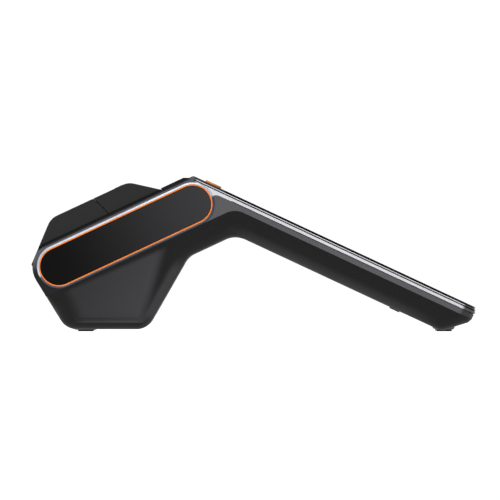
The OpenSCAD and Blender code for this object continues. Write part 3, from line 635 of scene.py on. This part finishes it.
def add_slab_openings(bm):
    """The battery bay, the counterbores, the speaker holes, the key slots, the port and the feet."""
    add_slab_box(bm, *BATTERY_BAY)
    for u in SCREW_U:
        for y in SCREW_Y:
            add_rod(bm, 2.2, -19, -15.8, slab_matrix(u, y, 0), 32)
    for i in range(-3, 4):
        add_rod(bm, 0.6, -19, -14, slab_matrix(SPEAKER_U + i * 2.2, SPEAKER_Y, 0), 16)
    for u, long in KEY_SLOTS:
        across = slab_matrix(u, 37, 9) @ Matrix.Rotation(-math.pi / 2, 4, "X")
        add_plate(bm, slot_outline(long, 3.5), 0, 4, across)
    add_slab_box(bm, *DATA_PORT)
    base_x, base_y = foot_pair("tail_foot_bases")[:2]
    for y in (-base_y, base_y):
        add_rod(bm, 5.1, -1, 3.25, Matrix.Translation((base_x, y, 0)), 48)


def casing_corners():
    """The lower casing's outline, anticlockwise from the parting line's front end."""
    split_front = meet(FRONT_AT, FRONT_DIR, on_head(0, SPLIT_V), TILT)
    return [
        (split_front, 0),
        (split_front - unit(FRONT_DIR) * 9, 0),
        (meet(FRONT_AT, FRONT_DIR, Vector((0, BASE_Z)), 0), 9),
        (Vector((REAR_X, BASE_Z)), 8.5),
        (meet(Vector((REAR_X, BASE_Z)), REAR_SLOPE, on_head(0, NECK_V), TILT), 10),
        (meet(on_head(0, NECK_V), TILT, on_slab(0, SLAB_T), -TILT), 11),
        (on_slab(SLAB_LEN - 11, SLAB_T), 6),
        (on_slab(SLAB_LEN - 1, 8.2), 1.5),
        (on_slab(SLAB_LEN, SPLIT_D), 0),
        (meet(on_head(0, SPLIT_V), TILT, on_slab(0, SPLIT_D), -TILT), 10),
    ]


def casing_targets(corners):
    """The outline of the casing's flat sides, where the rounding of its long edges ends."""
    up_slab = on_slab(0, 0) - on_slab(0, 1)
    back_slab = on_slab(0, 0) - on_slab(1, 0)
    split_along = unit(TILT)
    targets = [
        (corners[0][0] + split_along * (RIM_EDGE / split_along.dot(FRONT_IN)), 0),
        (corners[1][0] + FRONT_IN * EDGE_R, 0),
    ]
    for i in range(2, 6):
        radius = corners[i][1]
        targets.append((mitre(corners, i, EDGE_R), radius - EDGE_R if i < 4 else radius + EDGE_R))
    return targets + [
        (corners[6][0] + up_slab * EDGE_R, 6),
        (corners[7][0] + back_slab * TAIL_IN + up_slab * 1.0, 1.5),
        (corners[8][0] + back_slab * TAIL_IN, 0),
        (corners[9][0], 10),
    ]


def scoop_sides(bm, caps):
    """Divides the two flat sides into a grid, finest at the facet's foot, and sinks the facets."""
    geom = list(caps) + [e for f in caps for e in f.edges] + [v for f in caps for v in f.verts]
    for axis, start, stop in ((0, -95.0, -38.0), (2, 1.8, 46.0)):
        value = start
        while value < stop:
            at, normal = [0.0, 0.0, 0.0], [0.0, 0.0, 0.0]
            at[axis], normal[axis] = value, 1.0
            result = bmesh.ops.bisect_plane(bm, geom=list(set(geom)), plane_co=at, plane_no=normal)
            geom = [g for g in result["geom"] if g.is_valid]
            value += 0.15 if axis == 2 and 3.2 < value < 5.0 else 0.9
    for v in bm.verts:
        if abs(abs(v.co.y) - SIDE) < 1e-4:
            depth = facet_depth(Vector((v.co.x, v.co.z)))
            v.co.y -= math.copysign(depth, v.co.y)


def casing_cavity(corners):
    """The inside of the lower casing, which reaches up past the parting line, and its openings."""
    hollow = [
        (mitre(corners, 2, WALL), 7),
        (mitre(corners, 3, WALL), 7),
        (mitre(corners, 4, WALL), 12),
        (mitre(corners, 5, WALL), 13),
        (on_slab(SLAB_LEN - 14, SLAB_T - WALL), 4),
        (on_slab(SLAB_LEN - 8, SPLIT_D + 2), 0),
        (on_slab(SLAB_LEN - 8, SPLIT_D - 4), 0),
        (meet(on_head(0, SPLIT_V + 5), TILT, on_slab(0, SPLIT_D - 4), -TILT), 8),
        (corners[0][0] + unit(TILT) * 2.1 + unit(TILT + math.pi / 2) * 6, 0),
    ]
    cavity = bmesh.new()
    add_prism(cavity, smooth(hollow, 8), -SIDE + WALL, SIDE - WALL)
    add_scan_opening(cavity)
    add_slab_openings(cavity)
    return cavity


def lower_casing():
    corners = casing_corners()
    bm = bmesh.new()
    caps = rounded_shell(bm, corners, casing_targets(corners), SIDE, EDGE_R, rings=8, steps=10)
    scoop_sides(bm, caps)
    casing = new_object("lower_shell", bm, CASING, weighted=False)
    cut(casing, casing_cavity(corners))
    shade(casing, 28)
    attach(casing, "housing")
    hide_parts("lower_casing")


def front_wall():
    """The part of the lower casing between the cheeks, with the trough for the lid's barrel."""
    split_front = casing_corners()[0][0]
    top, half_w = Vector((0, 27.0)), 35.9
    back = FRONT_IN * WALL
    foot = split_front - unit(FRONT_DIR) * 0.5
    crown = meet(FRONT_AT, FRONT_DIR, top, 0)
    behind = meet(FRONT_AT + back, FRONT_DIR, top, 0)
    floor_in = meet(FRONT_AT + back, FRONT_DIR, Vector((0, split_front.y - 4)), 0)
    outline = [split_front, foot + back, floor_in, behind + Vector((3, 0)), behind, crown]
    wall = bmesh.new()
    add_prism(wall, outline, -half_w, half_w)
    front = new_object("front_wall", wall, BLACK, weighted=False)
    cutter = bmesh.new()
    pivot = Matrix.Translation((HINGE[0], 0, HINGE[2])) @ Matrix.Rotation(-math.pi / 2, 4, "X")
    add_rod(cutter, PIVOT_R, -40, 40, pivot, 64)
    add_scan_opening(cutter)
    cut(front, cutter)
    shade(front, 28)
    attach(front, "housing")
    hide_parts("lower_casing")


# ---------------------------------------------------------------- side panels' rings
SIDES = ((-1, "left"), (1, "right"))


def pill(r, y, steps=28):
    """Points of the side panel's outline at radius r."""
    out = []
    for u, first in ((PANEL_RUN, -90), (0, 90)):
        for i in range(steps + 1):
            a = math.radians(first + 180 * i / steps)
            p = on_head(u + r * math.cos(a), r * math.sin(a))
            out.append(Vector((p.x, y, p.y)))
    return out


def add_recess(bm, side):
    """The recess of one side panel and its rings."""
    add_side_prism(bm, [Vector((p.x, p.z)) for p in pill(RECESS_R, 0)], side, RECESS_Y, CLEAR_Y)


def pill_ring(name, profile, mat, side, replaced):
    """A ring round the side panel. The profile's points are (radius, y)."""
    bm = bmesh.new()
    loops = [[bm.verts.new(p) for p in pill(r, side * y)] for r, y in profile]
    count = len(loops[0])
    for a, b in zip(loops, loops[1:] + loops[:1]):
        for i in range(count):
            j = (i + 1) % count
            bm.faces.new((a[i], a[j], b[j], b[i]))
    ring = new_object(name, bm, mat, angle=35)
    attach(ring, "housing")
    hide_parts(replaced)


def side_rings():
    bevel = [(10.65, 39.25), (10.65, 40.1), (10.6, 40.22), (9.98, 40.95), (9.85, 41.0),
             (9.74, 40.95), (9.72, 40.8), (9.72, 39.25)]
    ring = [(9.7, 39.25), (9.7, 40.7), (9.64, 40.82), (9.5, 40.85), (9.2, 40.85),
            (9.12, 40.82), (9.06, 40.7), (9.06, 39.25)]
    for side, where in SIDES:
        pill_ring("bevel_" + where, bevel, CHROME, side, "panel_bezel_" + where)
        pill_ring("ring_" + where, ring, ORANGE, side, "accent_ring_" + where)


# ---------------------------------------------------------------- bands along the slab
def slab_outline(u0, u1, half_w, corner, steps=8):
    """A slab layer's outline, anticlockwise, with its tail corners rounded."""
    out = [(u0, half_w), (u0, -half_w)]
    for first, cy in ((-90, -half_w + corner), (0, half_w - corner)):
        for i in range(steps + 1):
            a = math.radians(first + 90 * i / steps)
            out.append((u1 - corner + corner * math.cos(a), cy + corner * math.sin(a)))
    return out


def slab_frame(u0, u1, half_w):
    return [(u0, half_w), (u0, -half_w), (u1, -half_w), (u1, half_w)]


def slab_band(name, u0, u1, half_w, corner, d0, d1, mat, edge):
    """A layer of the display bezel from d0 down to d1, open round the display and the scan key."""
    bm = bmesh.new()
    add_plate(bm, slab_outline(u0, u1, half_w, corner), -d1, -d0, slab_matrix(0, 0, 0), edge)
    band = new_object(name, bm, mat, angle=40)
    cutter = bmesh.new()
    for side, _ in SIDES:
        add_recess(cutter, side)
    display, key = slab_frame(20.2, 145.2, 35.2), slab_frame(4.8, 16, 16.2)
    add_plate(cutter, display, -9, 3, slab_matrix(0, 0, 0))
    add_plate(cutter, key, -9, 3, slab_matrix(0, 0, 0))
    cut(band, cutter)
    shade(band, 40)
    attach(band, "housing")
    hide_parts("display_bezel")


def bands():
    slab_band("bezel_band", 1.4, SLAB_LEN + 0.1, 40.3, 6.6, 1.95, 3.25, SILVER, 0.2)
    slab_band("bezel_line", 1.0, SLAB_LEN - 0.1, 40.0, 6.4, 1.05, 1.4, SILVER, 0.0)
    slab_band("bezel_gasket", 1.2, SLAB_LEN - 0.5, 39.7, 6.1, 1.4, 1.95, JOINT_AND_SHADE_BLACK, 0.0)
    slab_band("bezel_groove", 1.6, SLAB_LEN - 0.5, 39.7, 6.1, 3.25, 3.6, JOINT_AND_SHADE_BLACK, 0.0)


def silver_wedges():
    """The silver plates that fill the corner between a side panel and the slab's band."""
    shape = [
        (on_slab(1.6, 3.2), 0.5),
        (on_slab(1.6, 10), 0),
        (Vector((-22.2, 62.5)), 0),
        (Vector((-20.9, 65.2)), 0.3),
        (Vector((-18.7, 65.9)), 1.5),
        (on_slab(14.5, 3.62), 3),
        (on_slab(22, 3.45), 0),
        (on_slab(22, 3.2), 0),
    ]
    for side, where in SIDES:
        bm = bmesh.new()
        add_side_prism(bm, smooth(shape, 6), side, 39.9, 40.28)
        wedge = new_object("bezel_wedge_" + where, bm, SILVER, angle=40)
        cutter = bmesh.new()
        add_recess(cutter, side)
        cut(wedge, cutter)
        shade(wedge, 40)
        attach(wedge, "housing")


def lid_painted_shadow_strips():
    """Dark strips on the housing along the lid's and the cover's two lower edges: painted shadow where the
    lid meets the rim.
    """
    strip_outline = [on_head(-3.0, 12.32), on_head(60.5, 12.32), on_head(60.5, 13.15), on_head(-3.4, 13.15)]
    for side, where in SIDES:
        bm = bmesh.new()
        add_side_prism(bm, strip_outline, side, 39.05, 39.3)
        piece = new_object("lid_shadow_strip_" + where, bm, JOINT_AND_SHADE_BLACK, angle=40)
        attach(piece, "housing")


def add_lathe(bm, profile, x, y, steps=48):
    """A closed solid of revolution about the upright line at (x, y). Points are (radius, z)."""
    loops = []
    for r, z in profile:
        if r == 0:
            loops.append([bm.verts.new((x, y, z))] * steps)
            continue
        turn = [2 * math.pi * i / steps for i in range(steps)]
        loops.append([bm.verts.new((x + r * math.cos(a), y + r * math.sin(a), z)) for a in turn])
    for a, b in zip(loops, loops[1:]):
        for i in range(steps):
            j = (i + 1) % steps
            corners = list(dict.fromkeys((a[i], a[j], b[j], b[i])))
            if len(corners) > 2:
                bm.faces.new(corners)


def quarter(r, z, edge, first, steps=6):
    """Points of a quarter arc of radius edge about (r, z), from the angle first in degrees."""
    out = []
    for i in range(steps + 1):
        a = math.radians(first + 90 * i / steps)
        out.append((r + edge * math.cos(a), z + edge * math.sin(a)))
    return out


def feet():
    """The rounded glossy cups of the tail's feet and the bosses of the head's feet."""
    x, y, half, low_z, high_z = foot_pair("tail_foot_bases")
    head_x, head_y = foot_pair("head_foot_pads")[:2]
    edge = 1.0
    cup = [(0, high_z), (half, high_z)]
    cup += reversed(quarter(half - edge, low_z + edge, edge, -90))
    cup.append((0, low_z))
    boss = [(0, 2.7), (5.5, 2.7), (5.5, 1.3), (5.35, 0.9), (4.9, 0.7), (3.7, 0.7), (3.7, 1.2), (0, 1.2)]
    for name, profile, at_x, at_y, mat, node in (
            ("tail_cups", cup, x, y, CUP, "tail_foot_bases"),
            ("head_bosses", boss, head_x, head_y, BLACK, "lower_casing")):
        bm = bmesh.new()
        for side in (-1, 1):
            add_lathe(bm, profile, at_x, side * at_y)
        piece = new_object(name, bm, mat, angle=35)
        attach(piece, "housing")
        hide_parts(node)


def cover_painted_shadow_strips():
    """The thin dark strips on the print head cover along the parting line: painted shadow where the cover
    meets the housing.
    """
    hinge = Vector((HINGE[0], HINGE[2]))
    first, sweep, steps = 38.6, 14.0, 24
    inner_r, outer_r = 42.99, 43.28
    arc = [unit(math.radians(first + sweep * i / steps)) for i in range(steps + 1)]
    outline = [hinge + a * outer_r for a in arc] + [hinge + a * inner_r for a in reversed(arc)]
    for side, where in SIDES:
        bm = bmesh.new()
        add_side_prism(bm, outline, side, 37.6, 38.6)
        shadow_strip = new_object("cover_shadow_strip_" + where, bm, JOINT_AND_SHADE_BLACK, angle=40)
        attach(shadow_strip, "housing")


# ---------------------------------------------------------------- stage, lights and camera
def studio_floor():
    bm = bmesh.new()
    bmesh.ops.create_grid(bm, x_segments=1, y_segments=1, size=3000)
    floor = new_object("floor", bm, weighted=False)
    mat = bpy.data.materials.new("floor")
    mat.use_nodes = True
    shader = mat.node_tree.nodes["Principled BSDF"]
    shader.inputs["Base Color"].default_value = plain(0.35)
    shader.inputs["Roughness"].default_value = 0.9
    shader.inputs["Emission Color"].default_value = plain(1.0)
    shader.inputs["Emission Strength"].default_value = 0.93
    floor.data.materials.append(mat)


def studio_world():
    """A white background, which lights the object only dimly: most from in front and above."""
    world = bpy.data.worlds.new("studio")
    world.use_nodes = True
    tree = world.node_tree
    node, link = tree.nodes.new, tree.links.new
    parts = node("ShaderNodeSeparateXYZ")
    link(node("ShaderNodeTexCoord").outputs["Generated"], parts.inputs["Vector"])
    facing = add_range(tree, parts.outputs["Y"], 0.3, -1.0, 0.05, 0.2, "SMOOTHSTEP")
    above = add_range(tree, parts.outputs["Z"], 0.2, 1.0, 0.0, 0.25)
    path = node("ShaderNodeLightPath")
    seen = node("ShaderNodeMix")
    seen.data_type = "FLOAT"
    link(path.outputs["Is Camera Ray"], seen.inputs["Factor"])
    link(add_math(tree, "ADD", facing, above), seen.inputs["A"])
    seen.inputs["B"].default_value = 1.05
    background = tree.nodes["Background"]
    background.inputs["Color"].default_value = plain(1.0)
    link(seen.outputs["Result"], background.inputs["Strength"])
    bpy.context.scene.world = world


def area_light(name, place, size, power, target=(0, 0, 0.03)):
    light = bpy.data.lights.new(name, "AREA")
    light.shape = "RECTANGLE"
    light.size, light.size_y = size
    light.energy = power
    obj = bpy.data.objects.new(name, light)
    obj.location = place
    obj.rotation_euler = (Vector(target) - Vector(place)).to_track_quat("-Z", "Y").to_euler()
    bpy.context.scene.collection.objects.link(obj)


def studio_lights():
    area_light("key", (-0.5, -1.3, 1.0), (0.9, 0.9), 13.5)
    area_light("top_softbox", (-0.1, 0.0, 1.1), (1.2, 1.0), 7.0)
    area_light("far_side", (0.3, 1.4, 0.8), (0.9, 0.9), 6.0)


def camera():
    """A level view of the object's side, from so far off that it is nearly parallel."""
    view_w, view_z, shift = 0.242, 0.0394, -0.00185      # width, middle height and offset, in metres
    data = bpy.data.cameras.new("camera")
    data.lens = 1000
    data.sensor_width = 36
    data.clip_end = 50
    distance = view_w * data.lens / data.sensor_width
    obj = bpy.data.objects.new("camera", data)
    obj.location = ((low.x + high.x) / 2 + shift, -distance + low.y, view_z)
    obj.rotation_euler = (math.pi / 2, 0, 0)
    bpy.context.scene.collection.objects.link(obj)
    bpy.context.scene.camera = obj


camera()
studio_floor()
studio_world()
studio_lights()
bpy.context.scene.view_settings.view_transform = "Standard"
dress_cad_nodes()
lower_casing()
front_wall()
side_rings()
bands()
silver_wedges()
lid_painted_shadow_strips()
cover_painted_shadow_strips()
feet()
